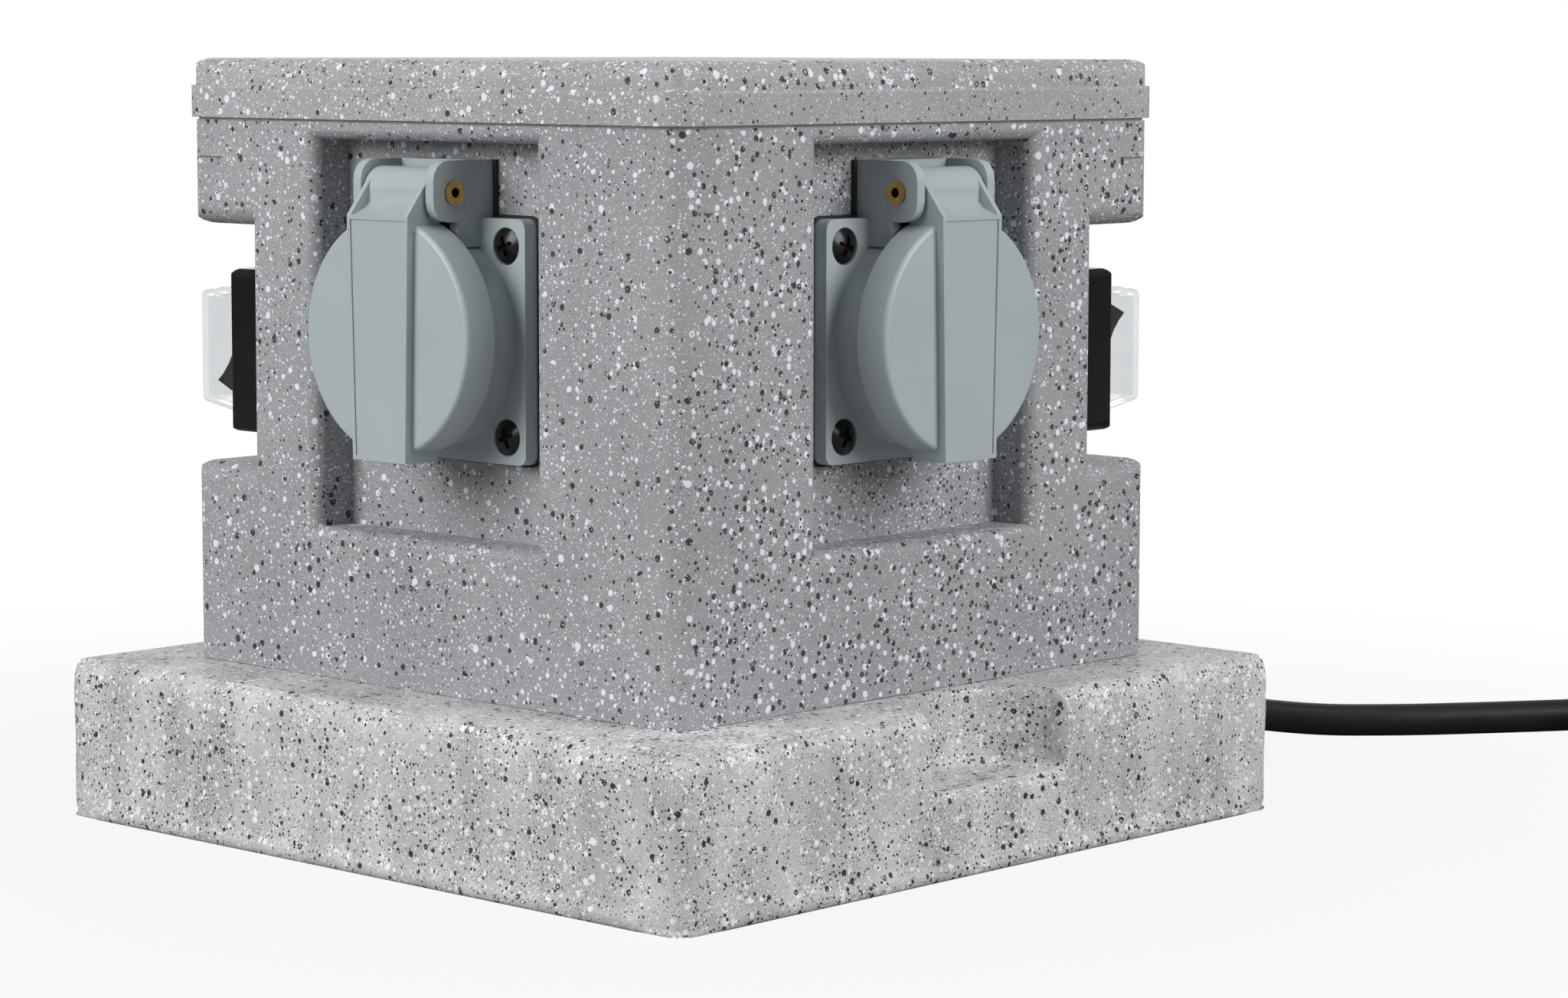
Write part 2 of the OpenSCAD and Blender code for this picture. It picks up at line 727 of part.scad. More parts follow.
module lid() {
  color(lid_grey) difference() {
    union() {
      translate([0, lid_rise, 0]) lid_disc();
      intersection() {
        along_pin(bar_w_top) bar_side();
        linear_extrude(4 * bar_front, center = true) bar_face(0);
      }
      along_pin(bar_w_top - rib_t) web_side();
      for (x = [-1, 1]) translate([x * (bar_w_top - rib_t) / 2, 0, 0]) along_pin(rib_t) rib_side();
      translate([-barrel_w / 2, pin_v, pin_w]) rotate([0, 90, 0]) cylinder(h = barrel_w, r = barrel_r);
    }
    translate([0, lid_rise, -1]) cylinder(h = lid_front - lid_wall + 1, r = recess_r - 1);
    translate([0, lid_rise, -1]) cylinder(h = lid_back + 3, r = recess_r + collar_wall + 0.2);
    translate([-ears_w, pin_v, pin_w]) rotate([0, 90, 0]) cylinder(h = 2 * ears_w, r = pin_r + pin_gap);
    translate([-spring_l / 2 - fit, pin_v, pin_w]) rotate([0, 90, 0])
      cylinder(h = spring_l + 2 * fit, r = spring_r + fit);
    // The bar's front is sunk a little inside a hairline frame
    translate([0, 0, bar_front - frame_deep]) linear_extrude(1) bar_face(frame_w);
  }
}

module lid_seal() {
  color(rubber) translate([0, lid_rise, lid_back]) difference() {
    cylinder(h = 2, r = recess_r + collar_wall + 0.2);
    translate([0, 0, -1]) cylinder(h = 4, r = recess_r - 1);
  }
}

// Closing spring on the pin: a wound sleeve and its two legs
module lid_spring() {
  coils = 9;
  step = spring_l / coils;
  groove_r = spring_r - 0.35;
  color(steel) translate([-spring_l / 2, pin_v, pin_w]) rotate([0, 90, 0]) rotate_extrude() polygon(concat(
    [[pin_r + 0.1, 0]],
    [for (i = [0 : coils - 1], p = [[groove_r, 0.05], [spring_r, 0.5], [groove_r, 0.95]])
      [p.x, step * (i + p.y)]],
    [[pin_r + 0.1, spring_l]]));
}

// SWITCH, in its own frame

body_deep = 12.5;
opening_half = 11.9;
pivot_w = box_out - pivot_in;
rocker_pin_r = 1.5;
rocker_pin_l = 1.3;

module switch_box() {
  r = 2;
  intersection() {
    linear_extrude(box_out) round_rect(box_w, box_h, r, 4);
    translate([-box_w, 0, 0]) rotate([90, 0, 90]) linear_extrude(2 * box_w)
      polygon(concat([[-box_h / 2, 0], [box_h / 2, 0]], arc([box_h / 2 - 3, box_out - 3], 3, 0, 90),
                     arc([1.5 - box_h / 2, box_out - 1.5], 1.5, 90, 180)));
    translate([0, box_h, 0]) rotate([90, 0, 0]) linear_extrude(2 * box_h)
      polygon(concat([[-box_w / 2, 0], [box_w / 2, 0]], arc([box_w / 2 - 1.2, box_out - 1.2], 1.2, 0, 90),
                     arc([1.2 - box_w / 2, box_out - 1.2], 1.2, 90, 180)));
  }
}

module switch_housing() {
  cavity_w = rocker_w + 0.6;
  color(black_plastic) difference() {
    union() {
      switch_box();
      translate([0, 0, -body_deep]) linear_extrude(body_deep + eps)
        square([hole_w - 2 * fit, hole_h - 2 * fit], center = true);
    }
    translate([-cavity_w / 2, -opening_half, -body_deep + 3])
      cube([cavity_w, 2 * opening_half, body_deep + box_out]);
    translate([0, 0, pivot_w]) rotate([0, 90, 0])
      cylinder(h = rocker_w + 2 * rocker_pin_l + 2 * fit, r = rocker_pin_r + rocker_gap, center = true);
  }
}

// Side view of the rocker: hollowed top, ends drawn in above, a boss for the pins below
module rocker_side() {
  sag = 3.6;
  r = (rocker_l * rocker_l + sag * sag) / (2 * sag);
  half = asin(rocker_l / r);
  polygon(concat([[-rocker_l + 2, -2.5], [rocker_l - 2, -2.5], [rocker_l + 1, 2.5]],
                 arc([0, rocker_h - sag + r], r, -90 + half, -90 - half, 8),
                 [[-rocker_l - 1, 2.5]]));
}

module rocker(tilt) {
  color(black_plastic) translate([0, 0, pivot_w]) rotate([tilt, 0, 0]) {
    along_pin(rocker_w) rocker_side();
    rotate([0, 90, 0]) cylinder(h = rocker_w + 2 * rocker_pin_l, r = rocker_pin_r, center = true);
  }
}

// The clear hood: a drafted shell open towards the box
hood_base = [24, 27.8];
hood_top = [22, 24.2];
module hood_slice(size, inset) {
  linear_extrude(0.1) round_rect(size.x - 2 * inset, size.y - 2 * inset, 1.4 - inset / 2, 3);
}
module hood_form(inset, from, to) {
  hull() {
    translate([0, 0, from]) hood_slice(hood_base, inset);
    translate([0, 0, to - 0.1]) hood_slice(hood_top, inset);
  }
}

module hood() {
  color([0.85, 0.88, 0.90, 0.5]) difference() {
    hood_form(0, box_out, box_out + hood_out);
    hood_form(hood_wall, box_out - 1, box_out + hood_out - hood_wall);
  }
}

tab_rise = 6;
tab_out = body_deep + 6;
module switch_tabs() {
  color(brass) for (y = [-1, 1]) translate([-3, y * tab_rise - 0.4, -tab_out]) cube([6, 0.8, 6]);
}

// WIRING

wire_r = 1.1;
module wire(points, r = wire_r) {
  for (i = [0 : len(points) - 2]) {
    a = points[i];
    b = points[i + 1];
    d = b - a;
    translate(a) rotate([0, acos(d.z / norm(d)), atan2(d.y, d.x)]) cylinder(h = norm(d), r = r, $fn = 24);
  }
  if (len(points) > 2) for (i = [1 : len(points) - 2]) translate(points[i]) sphere(r = r + 0.15, $fn = 24);
}

block_z = base_h - base_wall - block_h;
pole_z = block_z + 5;
pole_x = block_x + block_l / 2;
sheath_x = clamp_x - 14;

module terminal_block() {
  color("white") difference() {
    union() {
      for (y = [-1 : 1]) translate([block_x - block_l / 2, y * pole_pitch - pole_w / 2, block_z])
        cube([block_l, pole_w, block_h]);
      translate([block_x - 3, -block_w / 2, block_z + block_h - 4]) cube([6, block_w, 4]);
    }
    for (y = [-1 : 1]) translate([block_x - block_l, y * pole_pitch, pole_z]) rotate([0, 90, 0])
      cylinder(h = 2 * block_l, r = 2.6);
    for (x = [-6, 6], y = [-1 : 1])
      translate([block_x + x, y * pole_pitch, block_z - 1]) cylinder(h = 4, r = 2.2);
  }
}

module terminal_screws() {
  color(steel) for (x = [-6, 6], y = [-1 : 1])
    translate([block_x + x, y * pole_pitch, block_z + 0.6]) cylinder(h = 1.6, r = 2);
}

// Where the wires end on the left side; the right side's places are their mirror images
socket_back = -body_half - chamber_z;
clip_back = -body_half - (recess_floor - insert_disc - clip_t - fit);
tab_x = -body_half + switch_in;
tab_y = body_half - corner_d - tab_out;
low_tab_z = switch_z - tab_rise;
high_tab_z = switch_z + tab_rise;
in_x = block_x - block_l / 2 + 4;
reach = 0.2;
straight = 3;
rise_z = pole_z + 29.5;
turn_x = socket_back + 4.8;

module supply(y) {
  core_y = y * 0.2;
  wire([[sheath_x - reach, core_y, exit_z], [sheath_x - straight, core_y, exit_z],
        [pole_x + 7, y, pole_z], [pole_x - 4, y, pole_z]]);
}

// From the clamp to the block, then by each switch to its socket
module live_wires() {
  y = pole_pitch;
  near = y - wire_r - reach;
  far = y + wire_r + reach;
  color("saddlebrown") {
    supply(y);
    wire([[in_x, far, pole_z], [-12, far, pole_z], [-12, far, rise_z], [tab_x, tab_y - 6, low_tab_z - 8],
          [tab_x, tab_y - straight, low_tab_z], [tab_x, tab_y - reach, low_tab_z]]);
    wire([[in_x, near, pole_z], [-5, near, pole_z], [-5, near, rise_z + 4], [tab_y - 6, tab_x, low_tab_z - 8],
          [tab_y - straight, tab_x, low_tab_z], [tab_y - reach, tab_x, low_tab_z]]);
    socket_lead();
    right_side() socket_lead();
  }
}

module socket_lead() {
  wire([[tab_x, tab_y - reach, high_tab_z], [tab_x, tab_y - straight, high_tab_z],
        [socket_back, tab_y - straight + 1, high_tab_z + 3.5], [turn_x, contact_pitch, socket_z + straight],
        [turn_x, contact_pitch / 2, socket_z], [socket_back + reach, contact_pitch / 2, socket_z]]);
}

module neutral_wires() {
  off = wire_r + reach;
  half = contact_pitch / 2;
  color("royalblue") {
    supply(0);
    wire([[in_x, off, pole_z], [-20, off, pole_z], [-20, off, rise_z + 18], [turn_x, -half, socket_z - 9],
          [turn_x, -half, socket_z], [socket_back + reach, -half, socket_z]]);
    wire([[in_x, -off, pole_z], [-14, -off, pole_z], [-14, -off, rise_z + 10], [-half, turn_x, socket_z - 9],
          [-half, turn_x, socket_z], [-half, socket_back + reach, socket_z]]);
  }
}

module earth_wires() {
  y = -pole_pitch;
  near = y + wire_r + reach;
  far = y - wire_r - reach;
  clip_z = socket_z - 12;
  color("yellowgreen") {
    supply(y);
    wire([[in_x, near, pole_z], [-30, near, pole_z], [-30, near, rise_z + 18], [turn_x, 0, clip_z],
          [clip_back + reach, 0, clip_z]]);
    wire([[in_x, far, pole_z], [-6, far, pole_z], [-6, far, rise_z + 23], [0, turn_x, clip_z],
          [0, clip_back + reach, clip_z]]);
  }
}

// CORD CLAMP AND STRAIN RELIEF

module cord_clamp() {
  low = exit_z - cord_d / 2 - 3.5;
  y = clamp_screw_y + 4;
  color(black_plastic) difference() {
    translate([clamp_x - clamp_l / 2, -y, low]) cube([clamp_l, 2 * y, exit_z - fit - low]);
    translate([clamp_x - clamp_l, 0, exit_z]) rotate([0, 90, 0])
      cylinder(h = 2 * clamp_l, r = cord_d / 2 + 0.05);
    for (s = [-1, 1]) translate([clamp_x, s * clamp_screw_y, 0]) cylinder(h = base_h, r = plate_screw_r);
  }
}

module cord_clamp_screws() {
  low = exit_z - cord_d / 2 - 3.5;
  color(steel) for (s = [-1, 1])
    translate([clamp_x, s * clamp_screw_y, low]) rotate([180, 0, 0])
      pan_screw(2.9, 1.2, plate_screw_r, clamp_screw_l);
}

module cord_inner() {
  color(rubber) translate([sheath_x, 0, exit_z]) rotate([0, 90, 0])
    cylinder(h = base_half + relief_l - sheath_x, r = cord_d / 2);
}

module cord_relief() {
  wall_in = base_half - base_wall;
  tip = base_half + relief_l;
  bore_r = cord_d / 2 + 0.05;
  color(rubber) translate([0, 0, exit_z]) rotate([0, 90, 0]) difference() {
    rotate_extrude() polygon([
      [bore_r, wall_in - 2.5], [relief_neck_r + 2.4, wall_in - 2.5], [relief_neck_r + 2.4, wall_in],
      [relief_neck_r, wall_in], [relief_neck_r, base_half], [relief_neck_r + 2.4, base_half],
      [relief_neck_r + 2.2, base_half + 2.5], [relief_neck_r + 0.6, base_half + 3.5],
      [cord_d / 2 + 0.9, tip], [bore_r, tip]]);
    for (i = [0 : 3]) translate([0, 0, base_half + 7 + 4.2 * i]) rotate_extrude()
      translate([cord_d / 2 + 1.4, 0]) square([6, 1.4]);
  }
}

// LEAD

// Points of the lead's free stretch, from the strain relief's tip to the coil
route = [
  [base_half + relief_l, 0, exit_z], [129, 0, exit_z], [137, -1.6, 11.4], [145, -4.7, 10.3],
  [153.5, -10.5, 8.8], [161.5, -19, 6.8], [168, -29, 5.2], [174, -38.5, 4.3], [180, -47, 3.9],
  [187, -55, 3.9], [194.5, -62, 3.9], [203.5, -69, 3.9], [213, -76, 3.9], [226, -85, 3.9],
  [240.7, -93.5, 3.9], [255.3, -102, 3.9], [270, -110.5, 3.9]
];

// The coil: straight in for a diameter, turns inwards on the ground and outwards on top of
// them, a quarter turn up, then a bend across the turns to the plug that lies on them
heading = -30;
coil_step = 15;
pitch = cord_d + coil_gap;
bend_r = 33;
end_straight = 8;
entry = route[len(route) - 1];
turn_in = entry + end_straight * [cos(heading), sin(heading), 0];
coil_c = turn_in - coil_r * [cos(heading + 90), sin(heading + 90), 0];
start_a = heading + 90;
reverse_a = 360 * coil_turns;
spiral_a = 2 * reverse_a;

function clamp01(x) = max(0, min(1, x));
function coil_layer(a) = clamp01(0.5 + (a - reverse_a) / 180) + clamp01((a - spiral_a + 30) / 105);
function coil_radius(a) = a > spiral_a ? coil_r : coil_r - pitch * (reverse_a - abs(reverse_a - a)) / 360;
function coil_point(a) =
  coil_c + coil_radius(a) * [cos(start_a - a), sin(start_a - a), 0] + [0, 0, pitch * coil_layer(a)];

bend_a = start_a - spiral_a - 90;
bend_c = coil_c + (coil_r - bend_r) * [cos(bend_a), sin(bend_a), 0] + [0, 0, 2 * pitch];
bend_l = bend_r * PI / 2;

// The plug rests on its rim's rear edge, and the lead lifts to its tail at the end of the bend
plug_l = 54;
plug_r = 18.6;
rim_from = 38;
rim_edge = 1;
plug_tilt = 15;
turn_tops = entry.z + pitch + cord_d / 2;
tail_z = turn_tops + fit + plug_r * cos(plug_tilt) - (rim_from + rim_edge) * sin(plug_tilt);
lift = tail_z - end_straight * sin(plug_tilt) - bend_c.z;
lift_l = 2 * lift / tan(plug_tilt);
function bend_rise(s) = s < bend_l - lift_l ? 0 : lift * pow((s - bend_l) / lift_l + 1, 2);
function bend_point(a) =
  bend_c + bend_r * [cos(bend_a - a), sin(bend_a - a), 0] + [0, 0, bend_rise(bend_l * a / 90)];

plug_heading = bend_a - 90 - 90;
plug_dir = [cos(plug_heading) * cos(plug_tilt), sin(plug_heading) * cos(plug_tilt), sin(plug_tilt)];
bend_end = bend_point(90);
plug_tail = bend_end + end_straight * plug_dir;
coil_points = concat([entry], [for (a = [0 : coil_step : spiral_a + 75]) coil_point(a)],
                     [for (a = [0 : coil_step : 90]) bend_point(a)], [plug_tail]);

// Length of a line of points
function line_length(p, i = 1) = i < len(p) ? norm(p[i] - p[i - 1]) + line_length(p, i + 1) : 0;

// Least distance between stretches of the coil that aren't neighbours along it, less the lead itself
function coil_least_gap(p) =
  min([for (i = [0 : len(p) - 1], j = [i + 6 : 1 : len(p) - 1]) norm(p[i] - p[j])]) - cord_d;
echo(coil_gap_mm = coil_least_gap(coil_points));
echo(run_mm = line_length(route), coil_mm = line_length(coil_points));

// A tube along points that stay close to level
module swept_tube(p, r, sides) {
  n = len(p);
  function along(i) = let (d = p[min(i + 1, n - 1)] - p[max(i - 1, 0)]) d / norm(d);
  function ring(i) = let (t = along(i), s0 = cross([0, 0, 1], t), s = s0 / norm(s0), u = cross(t, s))
    [for (k = [0 : sides - 1]) let (a = 360 * (k + 0.5) / sides) p[i] + r * (cos(a) * s + sin(a) * u)];
  points = [for (i = [0 : n - 1]) for (v = ring(i)) v];
  walls = [for (i = [0 : n - 2], k = [0 : sides - 1]) let (a = i * sides + k, b = i * sides + (k + 1) % sides)
    for (f = [[a, a + sides, b], [b, a + sides, b + sides]]) f];
  caps = [[for (k = [0 : sides - 1]) k], [for (k = [sides - 1 : -1 : 0]) (n - 1) * sides + k]];
  polyhedron(points, concat(walls, caps));
}

module cord_run() { color(rubber) swept_tube(route, cord_d / 2, 10); }
module cord_coil() { color(rubber) swept_tube(coil_points, cord_d / 2, 6); }

// PLUG, in its own frame: tail at the origin, pins along x

module at_plug() {
  translate(plug_tail) rotate([0, 0, plug_heading]) rotate([0, -plug_tilt, 0]) children();
}

plug_pin_l = 19;
plug_pin_r = 2.4;
plug_pin_deep = 6;
strip_w = 5;
strip_t = 0.8;
strip_l = 15;

module plug_body() {
  color(rubber) at_plug() difference() {
    rotate([0, 90, 0]) rotate_extrude() polygon([
      [0, 0], [5.2, 0], [6, 6], [5.2, 7], [6.6, 12], [5.8, 13], [8.6, 18], [14, 31],
      [17.4, rim_from - rim_edge], [plug_r, rim_from + rim_edge], [plug_r, plug_l - 1.5],
      [plug_r - 0.6, plug_l], [0, plug_l]]);
    for (s = [-1, 1]) {
      translate([rim_from, -strip_w / 2, s > 0 ? plug_r - 1.7 : -plug_r - 1]) cube([plug_l, strip_w, 2.7]);
      translate([rim_from + 3, s > 0 ? plug_r - 1.5 : -plug_r - 1, -1.5]) cube([plug_l, 2.5, 3]);
      translate([plug_l - plug_pin_deep, s * contact_pitch / 2, 0]) rotate([0, 90, 0])
        cylinder(h = 2 * plug_pin_deep, r = plug_pin_r + 0.03);
    }
  }
}

module plug_pins() {
  tip = 1.4;
  straight = plug_pin_deep + plug_pin_l - tip;
  color(brass) at_plug() for (s = [-1, 1])
    translate([plug_l - plug_pin_deep, s * contact_pitch / 2, 0]) rotate([0, 90, 0]) {
      cylinder(h = straight, r = plug_pin_r);
      translate([0, 0, straight]) cylinder(h = tip, r1 = plug_pin_r, r2 = plug_pin_r - 1);
    }
}

module plug_earth() {
  color(brass) at_plug() for (side = [0, 1]) mirror([0, 0, side])
    translate([rim_from, -strip_w / 2, plug_r - 1.7]) cube([strip_l, strip_w, strip_t]);
}

base();
base_plate();
base_plate_screws();
column();
tie_screws();
top_cover();
top_seal();
at_left_socket() gasket();  // left_gasket
at_left_socket() socket();  // left_socket
at_left_socket() insert();  // left_insert
at_left_socket() contacts();  // left_contacts
at_left_socket() earth_clip();  // left_earth_clip
at_left_socket() socket_screws();  // left_socket_screws
at_left_socket() hinge_pin();  // left_hinge_pin
at_left_socket() lid_spring();  // left_lid_spring
at_left_socket() lid();  // left_lid
at_left_socket() lid_seal();  // left_lid_seal
right_side() at_left_socket() gasket();  // right_gasket
right_side() at_left_socket() socket();  // right_socket
right_side() at_left_socket() insert();  // right_insert
right_side() at_left_socket() contacts();  // right_contacts
right_side() at_left_socket() earth_clip();  // right_earth_clip
right_side() at_left_socket() socket_screws();  // right_socket_screws
right_side() at_left_socket() hinge_pin();  // right_hinge_pin
right_side() at_left_socket() lid_spring();  // right_lid_spring
right_side() at_left_socket() lid();  // right_lid
right_side() at_left_socket() lid_seal();  // right_lid_seal
at_left_switch() switch_housing();  // left_switch
at_left_switch() rocker(-rocker_tilt);  // left_rocker
at_left_switch() hood();  // left_hood
at_left_switch() switch_tabs();  // left_switch_tabs
right_side() at_left_switch() switch_housing();  // right_switch
right_side() at_left_switch() rocker(rocker_tilt);  // right_rocker
right_side() at_left_switch() hood();  // right_hood
right_side() at_left_switch() switch_tabs();  // right_switch_tabs
terminal_block();
terminal_screws();
live_wires();
neutral_wires();
earth_wires();
cord_clamp();
cord_clamp_screws();
cord_inner();
cord_relief();
cord_run();
cord_coil();
plug_body();
plug_pins();
plug_earth();
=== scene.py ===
import bmesh
import bpy
import math
from mathutils import Matrix, Vector, noise


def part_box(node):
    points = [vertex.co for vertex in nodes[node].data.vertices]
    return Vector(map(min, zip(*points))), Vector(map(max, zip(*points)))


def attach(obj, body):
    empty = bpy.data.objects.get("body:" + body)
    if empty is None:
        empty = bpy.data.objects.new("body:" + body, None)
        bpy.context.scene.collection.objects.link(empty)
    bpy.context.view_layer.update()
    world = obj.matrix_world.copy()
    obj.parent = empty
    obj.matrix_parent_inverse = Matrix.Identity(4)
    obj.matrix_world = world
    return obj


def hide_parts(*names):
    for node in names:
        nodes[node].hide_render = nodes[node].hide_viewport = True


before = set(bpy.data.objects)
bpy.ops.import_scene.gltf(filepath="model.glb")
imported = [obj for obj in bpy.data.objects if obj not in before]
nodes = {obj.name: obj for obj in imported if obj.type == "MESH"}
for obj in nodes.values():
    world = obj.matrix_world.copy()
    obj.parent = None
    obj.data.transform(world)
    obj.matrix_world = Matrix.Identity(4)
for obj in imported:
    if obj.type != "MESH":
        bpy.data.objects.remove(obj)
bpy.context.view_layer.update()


# Base: a hollow plastic moulding whose sides are shaped like hewn stone and
# whose edges are soft. White and black paint is spattered over its light
# grey, each colour in three sprays from coarse to fine.

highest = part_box("base")[1]
base_half = highest[0]
base_height = highest[2]
base_voxel = 0.0011
plain_rim = 0.002
corner_width = 0.012
notch_room = 0.024
outer_skin = 0.003
relief_skin = 0.006
top_skin = 0.0012
# Depth in metres, fineness per millimetre along the ground and upwards, and the pattern's shift
swells = (0.0012, 0.045, 0.030, 0)
chips = (0.0006, 0.13, 0.07, 40)
dent_depth = 0.00018
dents_per_metre = 60
# In millimetres above the ground: where the hollows start, and over what height they come in
hollows_from = 1.0
hollows_over = 3.0


def add_object(name, data):
    made = bpy.data.objects.new(name, data)
    bpy.context.scene.collection.objects.link(made)
    return made


# The node's loose triangles, joined and then remeshed evenly
bm = bmesh.new()
bm.from_mesh(nodes["base"].data)
bmesh.ops.remove_doubles(bm, verts=bm.verts, dist=1e-6)
joined = bpy.data.meshes.new("hewn_base")
bm.to_mesh(joined)
bm.free()
hewn_base = add_object("hewn_base", joined)
moulding = hewn_base.modifiers.new("moulding", "REMESH")
moulding.mode = "VOXEL"
moulding.voxel_size = base_voxel
bpy.context.view_layer.update()
remeshed = hewn_base.evaluated_get(bpy.context.evaluated_depsgraph_get())
skin_mesh = bpy.data.meshes.new_from_object(remeshed)
skin_mesh.name = "hewn_base_skin"
hewn_base.modifiers.clear()


def near_side(v, depth):
    return max(abs(v.co.x), abs(v.co.y)) > base_half - depth


def beside_notch(v):
    return abs(v.co.y) > base_half - notch_room and abs(v.co.x) < notch_room


def at_corner(v):
    return min(abs(v.co.x), abs(v.co.y)) > base_half - corner_width


def is_hewn(v):
    return near_side(v, outer_skin) and not beside_notch(v) and (v.co.z > plain_rim or at_corner(v))


def smooth(verts, times, also_up):
    for _ in range(times):
        bmesh.ops.smooth_vert(bm, verts=verts, factor=0.5,
                              use_axis_x=True, use_axis_y=True, use_axis_z=also_up)


def hollow(place, depth, along, up, shift):
    """How deep the side is hewn at a place in millimetres."""
    spot = Vector((place.x * along, place.y * along, place.z * up + shift))
    return depth * (0.5 + 0.5 * noise.noise(spot))


bm = bmesh.new()
bm.from_mesh(skin_mesh)
smooth([v for v in bm.verts if v.co.z > plain_rim], times=2, also_up=True)
smooth([v for v in bm.verts if is_hewn(v)], times=14, also_up=False)
bm.normal_update()
for v in bm.verts:
    outward = Vector((v.normal.x, v.normal.y, 0))
    faces_sideways = outward.length >= 0.5 and outward.dot(v.co) >= 0
    if not near_side(v, relief_skin) or not faces_sideways:
        continue
    place = v.co * 1000
    fade = 1.0 if at_corner(v) else min(1.0, max(0.0, (place.z - hollows_from) / hollows_over))
    v.co -= outward.normalized() * fade * (hollow(place, *swells) + hollow(place, *chips))
for v in bm.verts:
    faces_up = v.normal.z > 0.8
    if faces_up and v.co.z > base_height - top_skin:
        dent = noise.noise(Vector((v.co.x * dents_per_metre, v.co.y * dents_per_metre, 3.0)))
        v.co.z -= dent_depth * (0.5 + 0.5 * dent)
for face in bm.faces:
    face.smooth = True
bm.to_mesh(skin_mesh)
bm.free()
hewn_base.data = skin_mesh
hewn_base.data.materials.clear()


def shader_node(tree, kind, inputs, **settings):
    """A node; each input is a plain value or another node's output."""
    node = tree.nodes.new("ShaderNode" + kind)
    for name, value in settings.items():
        setattr(node, name, value)
    for name, value in inputs.items():
        if isinstance(value, bpy.types.NodeSocket):
            tree.links.new(value, node.inputs[name])
        else:
            node.inputs[name].default_value = value
    return node


def maths(tree, operation, *values):
    return shader_node(tree, "Math", dict(enumerate(values)), operation=operation).outputs[0]


def vector_maths(tree, operation, *values):
    return shader_node(tree, "VectorMath", dict(enumerate(values)), operation=operation).outputs


def remap(tree, value, start, end, low=0.0, high=1.0, **settings):
    ends = {"Value": value, "From Min": start, "From Max": end, "To Min": low, "To Max": high}
    return shader_node(tree, "MapRange", ends, **settings).outputs["Result"]


def noise_pattern(tree, place, scale, detail):
    return shader_node(tree, "TexNoise", {"Vector": place, "Scale": scale, "Detail": detail}).outputs


def mapped(tree, place, setting, value):
    return shader_node(tree, "Mapping", {"Vector": place, setting: value}).outputs["Vector"]


def mix_colours(tree, share, first, second):
    colours = {"Factor": share, "A": first, "B": second}
    return shader_node(tree, "Mix", colours, data_type="RGBA").outputs["Result"]


def raised(tree, height, strength, depth):
    bump = {"Height": height, "Strength": strength, "Distance": depth}
    return shader_node(tree, "Bump", bump).outputs["Normal"]


def millimetres(tree):
    """The surface's own place, in millimetres."""
    place = shader_node(tree, "TexCoord", {}).outputs["Object"]
    return mapped(tree, place, "Scale", (1000, 1000, 1000))


def new_group(name, given, results):
    """A node group, with what goes into it and what it has to put out."""
    group = bpy.data.node_groups.new(name, "ShaderNodeTree")
    for socket, kind, usual in given:
        made = group.interface.new_socket(name=socket, in_out="INPUT", socket_type="NodeSocket" + kind)
        if usual is not None:
            made.default_value = usual
    for socket, kind in results:
        group.interface.new_socket(name=socket, in_out="OUTPUT", socket_type="NodeSocket" + kind)
    return group, group.nodes.new("NodeGroupInput").outputs, group.nodes.new("NodeGroupOutput").inputs


def new_material(name):
    """A material, its node tree and the inputs of its surface shader."""
    material = bpy.data.materials.new(name)
    material.use_nodes = True
    return material, material.node_tree, material.node_tree.nodes["Principled BSDF"].inputs


def paint_drops_group():
    """One spray of round drops. Some cells of a Voronoi pattern hold a drop of their own size,
    mostly small, with a soft edge and now and then a dry middle."""
    group, given, result = new_group(
        "paint_drops",
        [("Place", "Vector", None), ("Per Millimetre", "Float", 0.3), ("Share", "Float", 0.5),
         ("Least", "Float", 0.1), ("Most", "Float", 0.4)],
        [("Mask", "Float")])
    mostly_small = 2.6
    firm_part = 0.82
    dry_share = 0.1
    dry_within = 0.30
    wet_beyond = 0.50
    cells = shader_node(group, "TexVoronoi", {"Vector": given["Place"], "Scale": given["Per Millimetre"]})
    distance = cells.outputs["Distance"]
    chance = shader_node(group, "SeparateColor", {"Color": cells.outputs["Color"]}).outputs
    size = maths(group, "POWER", chance["Green"], mostly_small)
    radius = remap(group, size, 0.0, 1.0, given["Least"], given["Most"])
    edge = maths(group, "MULTIPLY", radius, firm_part)
    inside = remap(group, distance, edge, radius, 1.0, 0.0, interpolation_type="SMOOTHSTEP")
    held = maths(group, "LESS_THAN", chance["Red"], given["Share"])
    mask = maths(group, "MULTIPLY", inside, held)
    wet = remap(group, maths(group, "DIVIDE", distance, radius), dry_within, wet_beyond)
    whole = maths(group, "GREATER_THAN", chance["Blue"], dry_share)
    filled = maths(group, "MAXIMUM", wet, whole)
    group.links.new(maths(group, "MULTIPLY", mask, filled), result["Mask"])
    return group


paint_drops = paint_drops_group()


